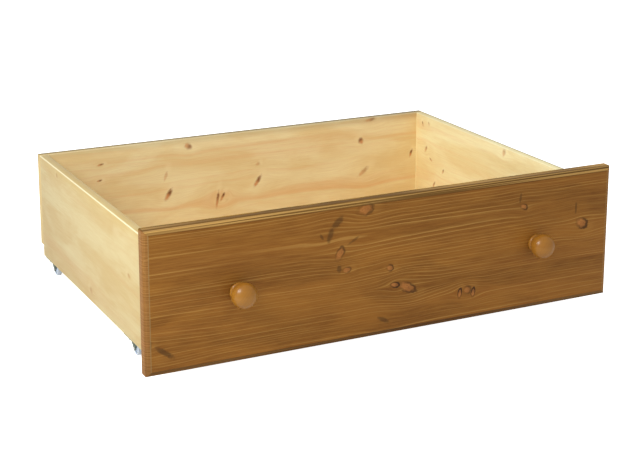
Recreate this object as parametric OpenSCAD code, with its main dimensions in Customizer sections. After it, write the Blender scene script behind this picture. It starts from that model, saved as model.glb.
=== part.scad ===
// Under-bed storage drawer: a pine box with a stained front, two turned knobs and four swivel castors.
// Millimetres, +Z up. The origin is on the floor, at the middle of the overall footprint.
// The front faces -Y, and left and right are as seen from the front.

/* [Front panel] */
// Width of the front panel
front_w = 950; // [800:10:1200]
// Height of the front panel
front_h = 260; // [220:5:330]
// Thickness of the front panel
front_t = 22; // [19:1:28]
// Width of the moulded edge, measured on the face
edge_w = 9; // [5:0.5:14]
// Depth of the moulded edge, measured back from the face
edge_d = 9; // [5:0.5:12]
// Height of the small step between the face and the moulded edge
edge_step = 1; // [0.5:0.25:2]
// Radius on the four corners of the panel
corner_r = 3; // [1:0.5:6]

/* [Box] */
// Depth from the front's face to the back's rear face
drawer_d = 688; // [560:4:840]
// Thickness of each side
side_t = 17; // [15:1:21]
// Thickness of the back
back_t = 17; // [15:1:21]
// How far the front stands past each side
overhang = 24; // [10:1:40]
// How far the box's top lies below the front's top
top_drop = 32; // [10:1:50]
// How far the box's bottom lies above the front's bottom
bottom_rise = 15; // [8:1:18]

/* [Base] */
// Thickness of the plywood base
base_t = 6; // [4:0.5:9]
// Depth of the groove that holds the base
groove_d = 7; // [5:0.5:8]
// Height of the runners under the base
runner_h = 16; // [14:1:24]
// Width of the side runners
runner_w = 30; // [28:1:40]
// Width of the batten under the middle of the base
batten_w = 40; // [25:1:60]

/* [Corner blocks and dowels] */
// Width of the square corner blocks behind the front
block_w = 22; // [18:1:28]
// Gap between a corner block and the base, and between it and the box's top
block_gap = 12; // [4:1:20]
// Diameter of the dowels between the sides and the front
dowel_d = 8; // [6:1:10]
// Length of each dowel
dowel_l = 28; // [20:2:30]

/* [Knobs] */
// Distance from the front's end to the middle of a knob
knob_inset = 170; // [110:5:240]
// Distance that a knob stands out from the face
knob_l = 46; // [32:1:52]
// Diameter of the knob's head
knob_d = 46; // [36:1:54]
// Diameter of the knob's collar
collar_d = 34; // [26:1:35]
// Thickness of the collar's bead
collar_t = 8; // [6:0.5:10]
// Diameter of the groove between collar and head
neck_d = 28; // [20:1:30]

/* [Screws] */
// Diameter of the assembly screws
screw_d = 4; // [3.5:0.5:5]
// Diameter of the heads of the assembly screws
screw_head_d = 8; // [7:0.5:9]
// Length of the screws through the back into the sides
back_screw_l = 50; // [40:5:60]
// Length of the screws through the corner blocks
block_screw_l = 34; // [30:1:36]
// Length of the screws through the runners into the sides
runner_screw_l = 42; // [38:1:44]
// Diameter of the small screws under the base
base_screw_d = 3; // [2.5:0.5:3.5]
// Length of the small screws through the base into the back
base_screw_l = 25; // [20:1:35]
// Diameter of the screws that hold the knobs
knob_screw_d = 4; // [4:0.5:5]
// How deep a knob's screw goes into the knob
knob_screw_depth = 18; // [12:1:22]
// Diameter of the screws in the castor plates
plate_screw_d = 3.5; // [3:0.25:4]
// Length of the screws in the castor plates
plate_screw_l = 14; // [10:1:15]

/* [Castors] */
// Diameter of the wheels
wheel_d = 25; // [20:1:32]
// Width of a wheel's tread
wheel_w = 10; // [8:0.5:14]
// Distance from the front's face to the front swivels
front_castor_d = 163; // [90:1:220]
// Distance from the back's rear face to the rear swivels
rear_castor_d = 47; // [42:1:120]
// Distance from a swivel to its axle
trail = 11; // [8:0.5:14]
// Length of a castor plate, front to back
plate_l = 42; // [38:1:50]
// Width of a castor plate
plate_w = 32; // [30:1:36]
// Thickness of a castor plate
plate_t = 2; // [1.5:0.25:3]
// Thickness of the fork's sheet
fork_t = 1.5; // [1:0.25:2]
// Radius of the fork's crown
crown_r = 13; // [12:0.5:14]
// Diameter of the bearing balls
ball_d = 2.4; // [2:0.2:3.2]
// Diameter of the king rivet
king_d = 6; // [5:0.5:7]
// Diameter of the axle
axle_d = 4; // [3:0.5:5]

/* [Clearances] */
// Radial clearance of wheel on axle and fork on king rivet
run_fit = 0.05; // [0.03:0.01:0.09]
// Radial clearance of screws and dowels in their holes
hole_fit = 0.05; // [0.02:0.01:0.2]
// Clearance over the base and past its edges, in its grooves
groove_fit = 0.3; // [0.2:0.1:0.6]
// Side clearance of the wheel's hub in the fork
hub_fit = 0.3; // [0.2:0.1:0.6]

/* [Hidden] */
$fn = 64;
// Overlap of shapes that join, and how far a cut runs past what it cuts
tiny = 0.01;
past = 1;
// Depth that a blind hole goes past the end of its screw or dowel
hole_end = 0.5;

// Colours
pine = "#e6cd98";
stained_pine = "#9c6733";
honey_pine = "#c98f45";
plywood = "#dcbf8c";
beech = "#d8b384";
zinc = "#a9b0b0";
steel = "#b9bdc2";
nylon = "#dfe8f2";

// Castor heights, from the floor up
wheel_r = wheel_d / 2;
crown_gap = 1.8;
race_gap = ball_d + 0.3;
crown_z = wheel_d + crown_gap;
race_z = crown_z + fork_t;
plate_z = race_z + race_gap;
castor_h = plate_z + plate_t;

// Heights of the box
front_z = castor_h - bottom_rise;
front_top = front_z + front_h;
box_z = castor_h;
box_top = front_top - top_drop;
side_h = box_top - box_z;
base_z = box_z + runner_h;
base_top = base_z + base_t;

// Places from front to back
total_d = drawer_d + knob_l;
face_y = knob_l - total_d / 2;
front_back_y = face_y + front_t;
rear_y = face_y + drawer_d;
back_y = rear_y - back_t;
side_l = back_y - front_back_y;
front_castor_y = face_y + front_castor_d;
rear_castor_y = rear_y - rear_castor_d;

// Places from side to side
box_w = front_w - 2 * overhang;
inner_x = box_w / 2 - side_t;
side_mid_x = inner_x + side_t / 2;
castor_x = inner_x;
knob_x = front_w / 2 - knob_inset;
knob_z = front_z + front_h / 2;

// Corner blocks and the screws through them
block_z = base_top + block_gap;
block_h = box_top - block_gap - block_z;
block_side_screw_shares = [0.18, 0.68];
block_front_screw_shares = [0.32, 0.82];
dowel_above_base = 20;
dowel_below_top = 30;
dowels_z = [base_top + dowel_above_base, box_top - dowel_below_top];
dowel_front_share = 0.45;
dowel_in_front = dowel_l * dowel_front_share;

// Screws in the back, the base and the runners
back_screw_inset = 25;
back_screws_z = [base_top + back_screw_inset, (base_top + box_top) / 2, box_top - back_screw_inset];
base_screw_count = 5;
base_screw_inset = 40;
base_screw_step = 2 * (inner_x - base_screw_inset) / (base_screw_count - 1);
runner_screw_shares = [0.25, 0.5, 0.75];
runner_screw_z = box_z + runner_h / 2;
base_screw_head_d = 2 * base_screw_d;

// Screw heads and points
point_r = 0.3;
head_rim = 0.3;
recess_slot = 0.9;
recess_share = 0.55;
flat_recess_share = 0.8;
pan_recess_share = 0.7;
pan_bevel = 0.8;

// Castor sheet and rivets
hub_stands_out = 1;
hub_w = wheel_w + 2 * hub_stands_out;
leaf_x = hub_w / 2 + hub_fit;
leaf_past_axle = 8;
leaf_front = trail + leaf_past_axle;
leaf_back = sqrt(crown_r * crown_r - (leaf_x + fork_t) * (leaf_x + fork_t));
eye_wall = 2.5;
eye_r = axle_d / 2 + eye_wall;
rivet_head_rim = 1.5;
axle_head_t = 1.2;
axle_head_d = axle_d + 2 * rivet_head_rim;
king_head_d = king_d + 2 * rivet_head_rim;
king_gap = 0.2;
king_head_t = crown_gap - 2 * king_gap;
ball_count = 14;
ball_ring_r = 8.4;
ball_lift = 0.1;
skirt_t = 1;
skirt_r = crown_r - skirt_t;
skirt_gap = 1;
skirt_h = race_gap - skirt_gap;
hole_inset = 5;
hole_x = plate_w / 2 - hole_inset;
hole_y = plate_l / 2 - hole_inset;
plate_screw_head_over = 3.3;
plate_screw_head_d = plate_screw_d + plate_screw_head_over;
plate_screw_head_t = 1.6;
plate_hole_fit = 0.25;

// Knob screw
knob_screw_head_d = knob_screw_d * 2;
knob_screw_head_t = 2.4;
washer_d = 12;
washer_t = 1;
washer_fit = 0.3;
knob_screw_l = washer_t + front_t + knob_screw_depth;
knob_hole_fit = 0.5;

// ---- Shapes shared by several pieces ----

// A box from its low corner, with its size
module board(low, size) {
    translate(low) cube(size);
}

// A cross-shaped driver recess, cut into a head whose top is at z = 0 and faces -z
module cross_recess(size, depth) {
    translate([-size / 2, -recess_slot / 2, -tiny]) cube([size, recess_slot, depth + tiny]);
    translate([-recess_slot / 2, -size / 2, -tiny]) cube([recess_slot, size, depth + tiny]);
}

// A countersunk screw along +z, its head's flat top at z = 0
module countersunk_screw(d, l, head_d) {
    r = d / 2;
    head_r = head_d / 2;
    difference() {
        rotate_extrude() polygon([
            [0, 0], [head_r, 0], [head_r, head_rim], [r, head_r - r + head_rim],
            [r, l - d], [point_r, l], [0, l]]);
        cross_recess(head_d * recess_share, (head_r - r) * flat_recess_share);
    }
}

// The hole that a countersunk screw needs, through every piece that it passes
module countersunk_hole(d, l, head_d) {
    r = d / 2 + hole_fit;
    head_r = head_d / 2 + hole_fit;
    rotate_extrude() polygon([
        [0, -past], [head_r, -past], [head_r, head_rim], [r, head_r - r + head_rim],
        [r, l + hole_end], [0, l + hole_end]]);
}

// A pan-head screw along +z, its head below z = 0
module pan_screw(d, l, head_d, head_t) {
    difference() {
        rotate_extrude() polygon([
            [0, -head_t], [head_d / 2 - pan_bevel, -head_t], [head_d / 2, -head_t + pan_bevel],
            [head_d / 2, 0], [d / 2, 0], [d / 2, l - d], [point_r, l], [0, l]]);
        translate([0, 0, -head_t]) cross_recess(head_d * recess_share, head_t * pan_recess_share);
    }
}

// Turns +z to -x on the left and to +x on the right
module outward(side) {
    rotate([0, side * 90, 0]) children();
}

// Stands a shape at each place of the screws through the back
module at_back_screws() {
    for (side = [-1, 1], z = back_screws_z)
        translate([side * side_mid_x, rear_y, z]) rotate([90, 0, 0]) children();
}

// Stands a shape at each place of the screws through the corner blocks into the sides
module at_block_side_screws(side) {
    for (share = block_side_screw_shares)
        translate([side * (inner_x - block_w), front_back_y + block_w / 2, block_z + share * block_h])
            outward(side) children();
}

// Stands a shape at each place of the screws through the corner blocks into the front
module at_block_front_screws(side) {
    for (share = block_front_screw_shares)
        translate([side * (inner_x - block_w / 2), front_back_y + block_w, block_z + share * block_h])
            rotate([90, 0, 0]) children();
}

// Stands a shape at each place of the screws through a runner into its side
module at_runner_screws(side) {
    for (share = runner_screw_shares)
        translate([side * (inner_x - runner_w),
            front_castor_y + share * (rear_castor_y - front_castor_y), runner_screw_z])
            outward(side) children();
}

// Stands a shape at each place of the screws up through the base into the back
module at_base_screws() {
    for (i = [0 : base_screw_count - 1])
        translate([-(inner_x - base_screw_inset) + i * base_screw_step, rear_y - back_t / 2, base_z])
            children();
}

// Stands a shape at each dowel of one side, pointing back from inside the front
module at_dowels(side) {
    for (z = dowels_z)
        translate([side * side_mid_x, front_back_y - dowel_in_front, z]) rotate([-90, 0, 0]) children();
}

// Stands a shape at one castor's swivel axis, on the floor
module at_castor(side, y) {
    translate([side * castor_x, y, 0]) children();
}

// Stands a shape at the four screws of one castor plate, under the plate
module at_plate_screws(side, y) {
    at_castor(side, y)
        for (x = [-hole_x, hole_x], dy = [-hole_y, hole_y])
            translate([x, dy, plate_z]) children();
}

// Takes the plate screws' holes out of what stands above one side's castors
module plate_screw_holes(side) {
    for (y = [front_castor_y, rear_castor_y])
        at_plate_screws(side, y) cylinder(r = plate_screw_d / 2 + hole_fit, h = plate_screw_l + hole_end);
}

// ---- The front and its knobs ----

// What is cut from one edge, as [depth, height]: a small step down from the face, then a round to the edge
edge_outline = concat(
    [[-past, -past], [-past, edge_w]],
    [for (a = [0 : 15 : 90]) [edge_d - (edge_d - edge_step) * cos(a), edge_w * (1 - sin(a))]],
    [[edge_d, -past]]);

// The prism that shapes one edge, with its length along +x, the face at y = 0 and the edge at z = 0
module edge_cut(length) {
    translate([-length / 2, 0, 0]) rotate([90, 0, 90]) linear_extrude(length) polygon(edge_outline);
}

module front_outline() {
    for (x = [-1, 1], z = [-1, 1])
        translate([x * (front_w / 2 - corner_r), z * (front_h / 2 - corner_r)]) circle(corner_r);
    square([front_w - 2 * corner_r, front_h], center = true);
    square([front_w, front_h - 2 * corner_r], center = true);
}

module front_panel() {
    color(stained_pine) difference() {
        translate([0, front_back_y, knob_z]) rotate([90, 0, 0]) linear_extrude(front_t) front_outline();
        translate([0, face_y, front_z]) edge_cut(front_w + 2 * past);
        translate([0, face_y, front_top]) rotate([0, 180, 0]) edge_cut(front_w + 2 * past);
        translate([-front_w / 2, face_y, knob_z]) rotate([0, 90, 0]) edge_cut(front_h + 2 * past);
        translate([front_w / 2, face_y, knob_z]) rotate([0, -90, 0]) edge_cut(front_h + 2 * past);
        board([-inner_x - groove_d, front_back_y - groove_d, base_z],
            [2 * (inner_x + groove_d), groove_d + past, base_t + groove_fit]);
        for (side = [-1, 1]) {
            at_dowels(side) cylinder(r = dowel_d / 2 + hole_fit, h = dowel_l);
            at_block_front_screws(side) countersunk_hole(screw_d, block_screw_l, screw_head_d);
            translate([side * knob_x, front_back_y + past, knob_z]) rotate([90, 0, 0])
                cylinder(r = knob_screw_d / 2 + knob_hole_fit, h = front_t + 2 * past);
        }
    }
}

// A knob's outline from its axis outwards, from the face at y = 0 to its tip
neck_l = 1;
head_mid = (collar_t + knob_l) / 2;
head_start = collar_t + neck_l;
bead_r = collar_t / 2;
head_angle = acos(neck_d / knob_d);
head_back = (head_mid - head_start) / sin(head_angle);
knob_outline = concat(
    [[0, 0]],
    [for (a = [-90 : 15 : 75]) [collar_d / 2 - bead_r + bead_r * cos(a), bead_r + bead_r * sin(a)]],
    [[neck_d / 2, collar_t]],
    [for (a = [-head_angle : head_angle / 8 : -tiny]) [knob_d / 2 * cos(a), head_mid + head_back * sin(a)]],
    [for (a = [0 : 7.5 : 82.5]) [knob_d / 2 * cos(a), head_mid + (knob_l - head_mid) * sin(a)]],
    [[0, knob_l]]);

module knob(side) {
    color(honey_pine) translate([side * knob_x, face_y, knob_z]) rotate([90, 0, 0]) difference() {
        rotate_extrude() polygon(knob_outline);
        translate([0, 0, -past])
            cylinder(r = knob_screw_d / 2 + hole_fit, h = past + knob_screw_depth + hole_end);
    }
}

module left_knob() { knob(-1); }
module right_knob() { knob(1); }

module knob_screws() {
    color(steel) for (side = [-1, 1])
        translate([side * knob_x, front_back_y + washer_t, knob_z]) rotate([90, 0, 0])
            pan_screw(knob_screw_d, knob_screw_l, knob_screw_head_d, knob_screw_head_t);
}

module knob_washers() {
    color(steel) for (side = [-1, 1])
        translate([side * knob_x, front_back_y + washer_t, knob_z]) rotate([90, 0, 0]) difference() {
            cylinder(r = washer_d / 2, h = washer_t);
            translate([0, 0, -past]) cylinder(r = knob_screw_d / 2 + washer_fit, h = washer_t + 2 * past);
        }
}

// ---- The box ----

module side_board(side) {
    color(pine) difference() {
        board([side > 0 ? inner_x : -inner_x - side_t, front_back_y, box_z], [side_t, side_l, side_h]);
        board([-inner_x - groove_d, front_back_y - past, base_z],
            [2 * (inner_x + groove_d), side_l + 2 * past, base_t + groove_fit]);
        at_dowels(side) cylinder(r = dowel_d / 2 + hole_fit, h = dowel_l + hole_end);
        at_block_side_screws(side) countersunk_hole(screw_d, block_screw_l, screw_head_d);
        at_runner_screws(side) countersunk_hole(screw_d, runner_screw_l, screw_head_d);
        at_back_screws() countersunk_hole(screw_d, back_screw_l, screw_head_d);
        plate_screw_holes(side);
    }
}

module left_side() { side_board(-1); }
module right_side() { side_board(1); }

module back_panel() {
    color(pine) difference() {
        board([-box_w / 2, back_y, base_top], [box_w, back_t, box_top - base_top]);
        at_back_screws() countersunk_hole(screw_d, back_screw_l, screw_head_d);
        at_base_screws() countersunk_hole(base_screw_d, base_screw_l, base_screw_head_d);
    }
}

// How far the base's rear edge lies in from the back's rear face
base_set_back = 1;

module base_panel() {
    base_x = inner_x + groove_d - groove_fit;
    base_y = front_back_y - groove_d + groove_fit;
    color(plywood) difference() {
        board([-base_x, base_y, base_z], [2 * base_x, rear_y - base_set_back - base_y, base_t]);
        at_base_screws() countersunk_hole(base_screw_d, base_screw_l, base_screw_head_d);
    }
}

module runner(side) {
    color(pine) difference() {
        board([side > 0 ? inner_x - runner_w : -inner_x, front_back_y, box_z], [runner_w, side_l, runner_h]);
        at_runner_screws(side) countersunk_hole(screw_d, runner_screw_l, screw_head_d);
        plate_screw_holes(side);
    }
}

module left_runner() { runner(-1); }
module right_runner() { runner(1); }

module base_batten() {
    color(pine) board([-batten_w / 2, front_back_y, box_z], [batten_w, side_l, runner_h]);
}

module corner_block(side) {
    color(pine) difference() {
        board([side > 0 ? inner_x - block_w : -inner_x, front_back_y, block_z], [block_w, block_w, block_h]);
        at_block_side_screws(side) countersunk_hole(screw_d, block_screw_l, screw_head_d);
        at_block_front_screws(side) countersunk_hole(screw_d, block_screw_l, screw_head_d);
    }
}

module left_corner_block() { corner_block(-1); }
module right_corner_block() { corner_block(1); }

// ---- Dowels and screws, each group one node of separate solids ----

module front_dowels() {
    color(beech) for (side = [-1, 1]) at_dowels(side) cylinder(r = dowel_d / 2, h = dowel_l);
}

module back_screws() {
    color(steel) at_back_screws() countersunk_screw(screw_d, back_screw_l, screw_head_d);
}

module corner_block_screws() {
    color(steel) for (side = [-1, 1]) {
        at_block_side_screws(side) countersunk_screw(screw_d, block_screw_l, screw_head_d);
        at_block_front_screws(side) countersunk_screw(screw_d, block_screw_l, screw_head_d);
    }
}

module runner_screws() {
    color(steel) for (side = [-1, 1])
        at_runner_screws(side) countersunk_screw(screw_d, runner_screw_l, screw_head_d);
}

module base_screws() {
    color(steel) at_base_screws() countersunk_screw(base_screw_d, base_screw_l, base_screw_head_d);
}

module castor_screws() {
    color(zinc) for (side = [-1, 1], y = [front_castor_y, rear_castor_y])
        at_plate_screws(side, y)
            pan_screw(plate_screw_d, plate_screw_l, plate_screw_head_d, plate_screw_head_t);
}

// ---- One castor, drawn at its swivel axis on the floor, with the wheel trailing to the front ----

module castor_plate() {
    color(zinc) difference() {
        union() {
            translate([-plate_w / 2, -plate_l / 2, plate_z]) cube([plate_w, plate_l, plate_t]);
            translate([0, 0, plate_z - skirt_h]) cylinder(r = skirt_r, h = skirt_h + tiny);
        }
        translate([0, 0, plate_z - skirt_h - past]) cylinder(r = skirt_r - skirt_t, h = skirt_h + past);
        translate([0, 0, plate_z - past]) cylinder(r = king_d / 2 + hole_fit, h = plate_t + 2 * past);
        for (x = [-hole_x, hole_x], y = [-hole_y, hole_y])
            translate([x, y, plate_z - past])
                cylinder(r = plate_screw_d / 2 + plate_hole_fit, h = plate_t + 2 * past);
    }
}

module king_rivet() {
    head_z = crown_z - king_gap - king_head_t;
    color(steel) {
        translate([0, 0, head_z]) cylinder(r = king_head_d / 2, h = king_head_t);
        translate([0, 0, head_z + king_head_t - tiny])
            cylinder(r = king_d / 2, h = castor_h - head_z - king_head_t + tiny);
    }
}

module race_balls() {
    color(steel) for (i = [0 : ball_count - 1])
        rotate([0, 0, i * 360 / ball_count])
            translate([ball_ring_r, 0, plate_z - ball_lift - ball_d / 2]) sphere(d = ball_d);
}

module leaf_outline() {
    polygon([[-leaf_front, race_z], [leaf_back, race_z],
        [eye_r - trail, wheel_r], [-eye_r - trail, wheel_r]]);
    translate([-trail, wheel_r]) circle(eye_r);
}

module fork() {
    color(zinc) difference() {
        union() {
            translate([0, 0, crown_z]) cylinder(r = crown_r, h = fork_t);
            translate([-leaf_x - fork_t, -leaf_front, crown_z])
                cube([2 * (leaf_x + fork_t), leaf_front, fork_t]);
            for (x = [-leaf_x - fork_t, leaf_x])
                translate([x, 0, 0]) rotate([90, 0, 90]) linear_extrude(fork_t) leaf_outline();
        }
        translate([0, 0, crown_z - past]) cylinder(r = king_d / 2 + run_fit, h = fork_t + 2 * past);
        translate([-leaf_x - fork_t - past, -trail, wheel_r]) rotate([0, 90, 0])
            cylinder(r = axle_d / 2 + hole_fit, h = 2 * (leaf_x + fork_t + past));
    }
}

module axle() {
    outer_x = leaf_x + fork_t;
    color(steel) translate([-outer_x - axle_head_t, -trail, wheel_r]) rotate([0, 90, 0]) {
        cylinder(r = axle_head_d / 2, h = axle_head_t);
        cylinder(r = axle_d / 2, h = 2 * (outer_x + axle_head_t));
        translate([0, 0, 2 * outer_x + axle_head_t]) cylinder(r = axle_head_d / 2, h = axle_head_t);
    }
}

// The wheel is a solid tread with a dished web and a hub that stands out at both sides
tread_round = 1.5;
tread_wall = 3.5;
web_w = wheel_w / 2;
hub_wall = 2;
hub_r = axle_d / 2 + hub_wall;

module wheel() {
    color(nylon) translate([0, -trail, wheel_r]) rotate([0, 90, 0]) difference() {
        rotate_extrude() polygon([
            [0, -hub_w / 2], [hub_r, -hub_w / 2], [hub_r, -web_w / 2],
            [wheel_r - tread_wall, -web_w / 2], [wheel_r - tread_wall, -wheel_w / 2],
            [wheel_r - tread_round, -wheel_w / 2], [wheel_r, -wheel_w / 2 + tread_round],
            [wheel_r, wheel_w / 2 - tread_round], [wheel_r - tread_round, wheel_w / 2],
            [wheel_r - tread_wall, wheel_w / 2], [wheel_r - tread_wall, web_w / 2],
            [hub_r, web_w / 2], [hub_r, hub_w / 2], [0, hub_w / 2]]);
        translate([0, 0, -hub_w]) cylinder(r = axle_d / 2 + run_fit, h = 2 * hub_w);
    }
}

// ---- The nodes ----

front_panel();
left_side();
right_side();
back_panel();
base_panel();
left_runner();
right_runner();
base_batten();
left_corner_block();
right_corner_block();
front_dowels();
back_screws();
corner_block_screws();
runner_screws();
base_screws();
left_knob();
right_knob();
knob_screws();
knob_washers();
castor_screws();
at_castor(-1, front_castor_y) castor_plate();  // front_left_plate
at_castor(-1, front_castor_y) king_rivet();  // front_left_king_rivet
at_castor(-1, front_castor_y) race_balls();  // front_left_race_balls
at_castor(-1, front_castor_y) fork();  // front_left_fork
at_castor(-1, front_castor_y) axle();  // front_left_axle
at_castor(-1, front_castor_y) wheel();  // front_left_wheel
at_castor(1, front_castor_y) castor_plate();  // front_right_plate
at_castor(1, front_castor_y) king_rivet();  // front_right_king_rivet
at_castor(1, front_castor_y) race_balls();  // front_right_race_balls
at_castor(1, front_castor_y) fork();  // front_right_fork
at_castor(1, front_castor_y) axle();  // front_right_axle
at_castor(1, front_castor_y) wheel();  // front_right_wheel
at_castor(-1, rear_castor_y) castor_plate();  // rear_left_plate
at_castor(-1, rear_castor_y) king_rivet();  // rear_left_king_rivet
at_castor(-1, rear_castor_y) race_balls();  // rear_left_race_balls
at_castor(-1, rear_castor_y) fork();  // rear_left_fork
at_castor(-1, rear_castor_y) axle();  // rear_left_axle
at_castor(-1, rear_castor_y) wheel();  // rear_left_wheel
at_castor(1, rear_castor_y) castor_plate();  // rear_right_plate
at_castor(1, rear_castor_y) king_rivet();  // rear_right_king_rivet
at_castor(1, rear_castor_y) race_balls();  // rear_right_race_balls
at_castor(1, rear_castor_y) fork();  // rear_right_fork
at_castor(1, rear_castor_y) axle();  // rear_right_axle
at_castor(1, rear_castor_y) wheel();  // rear_right_wheel
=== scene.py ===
"""The looks of an under-bed storage drawer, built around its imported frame."""

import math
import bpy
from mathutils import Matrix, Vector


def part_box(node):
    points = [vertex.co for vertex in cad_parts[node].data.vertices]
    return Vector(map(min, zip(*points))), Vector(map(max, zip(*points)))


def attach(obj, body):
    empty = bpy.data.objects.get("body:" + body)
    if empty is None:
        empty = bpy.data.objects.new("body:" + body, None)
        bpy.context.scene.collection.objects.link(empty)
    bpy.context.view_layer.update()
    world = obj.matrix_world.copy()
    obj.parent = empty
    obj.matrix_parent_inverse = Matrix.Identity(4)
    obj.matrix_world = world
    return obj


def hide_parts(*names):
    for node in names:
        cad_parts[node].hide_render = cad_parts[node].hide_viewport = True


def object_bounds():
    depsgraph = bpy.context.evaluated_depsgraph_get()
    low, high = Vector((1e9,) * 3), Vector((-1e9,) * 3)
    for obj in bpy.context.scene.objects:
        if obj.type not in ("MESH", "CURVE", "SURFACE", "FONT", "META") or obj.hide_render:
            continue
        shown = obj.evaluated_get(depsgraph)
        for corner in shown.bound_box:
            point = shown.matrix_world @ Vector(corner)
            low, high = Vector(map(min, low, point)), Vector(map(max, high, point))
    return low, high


bl_info = {
    "name": "Under-bed Storage Drawer",
    "version": (1, 0, 0),
    "blender": (4, 5, 0),
    "location": "View3D > Sidebar > Drawer",
    "description": "Pine boards, stained front, turned knobs and castors of an under-bed drawer",
    "category": "Object",
}

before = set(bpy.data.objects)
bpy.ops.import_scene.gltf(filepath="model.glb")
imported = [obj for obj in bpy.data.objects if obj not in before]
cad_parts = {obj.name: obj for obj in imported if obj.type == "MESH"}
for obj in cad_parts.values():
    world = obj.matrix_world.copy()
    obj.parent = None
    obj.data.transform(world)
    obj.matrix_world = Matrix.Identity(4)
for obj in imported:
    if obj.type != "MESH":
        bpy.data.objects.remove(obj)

import bmesh
import bpy
from mathutils import Euler, Matrix, Vector

CAD_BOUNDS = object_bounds()
CORNERS = ("front_left", "front_right", "rear_left", "rear_right")
MM = 0.001


def rgb(red, green, blue):
    """A colour given as it looks on screen, 0 to 255, as the linear colour that shaders take."""
    def linear(c):
        c /= 255
        return c / 12.92 if c <= 0.04045 else ((c + 0.055) / 1.055) ** 2.4
    return (linear(red), linear(green), linear(blue), 1.0)


# ---------------------------------------------------------------- settings


def colour_prop(name, description, value):
    return bpy.props.FloatVectorProperty(
        name=name, description=description, subtype="COLOR", size=4, min=0, max=1, default=value)


def length_prop(name, description, value):
    return bpy.props.FloatProperty(
        name=name, description=description, default=value, min=0, unit="LENGTH", precision=5)


def power_prop(name, description, value):
    return bpy.props.FloatProperty(name=name, description=description, default=value, min=0, unit="POWER")


class DrawerWoodSettings(bpy.types.PropertyGroup):
    """Colours and sizes of the wooden pieces."""

    pine_pale: colour_prop("Pale pine", "Early wood of the box's boards", rgb(238, 214, 162))
    pine_warm: colour_prop("Warm pine", "Warmer patches of the box's boards", rgb(228, 196, 138))
    pine_streak: colour_prop("Pine streak", "Late-wood streaks of the box's boards", rgb(224, 170, 112))
    stain_mid: colour_prop("Stain", "Main colour of the stained front", rgb(146, 93, 32))
    stain_dark: colour_prop("Dark stain", "Where the front took up more stain", rgb(116, 69, 20))
    stain_line: colour_prop("Stain line", "Late-wood lines that stay light on the front", rgb(206, 160, 84))
    honey: colour_prop("Honey lacquer", "Colour of the turned knobs", rgb(174, 120, 38))
    arris: length_prop("Arris", "Rounding on the boards' long edges", 1.2 * MM)


class DrawerCastorSettings(bpy.types.PropertyGroup):
    """Colours and sizes of the castors and screws."""

    zinc: colour_prop("Zinc", "Colour of plates and forks", rgb(118, 132, 118))
    steel: colour_prop("Steel", "Colour of screws and rivets", rgb(190, 192, 194))
    nylon: colour_prop("Wheel", "Colour of the wheels", rgb(222, 232, 242))
    sheet_arris: length_prop("Sheet arris", "Rounding on the pressed steel's edges", 0.25 * MM)
    thread_pitch: length_prop("Thread pitch", "Distance from thread to thread on the screws", 1.6 * MM)


class DrawerStageSettings(bpy.types.PropertyGroup):
    """The floor, lights and camera."""

    floor_size: length_prop("Floor size", "Side of the square floor", 14.0)
    key_power: power_prop("Key power", "Power of the key light", 70)
    fill_power: power_prop("Fill power", "Power of the fill light", 6)
    sky: bpy.props.FloatProperty(
        name="Sky", description="Strength of the even light from all round", default=0.56, min=0)


# ---------------------------------------------------------------- node trees


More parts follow.
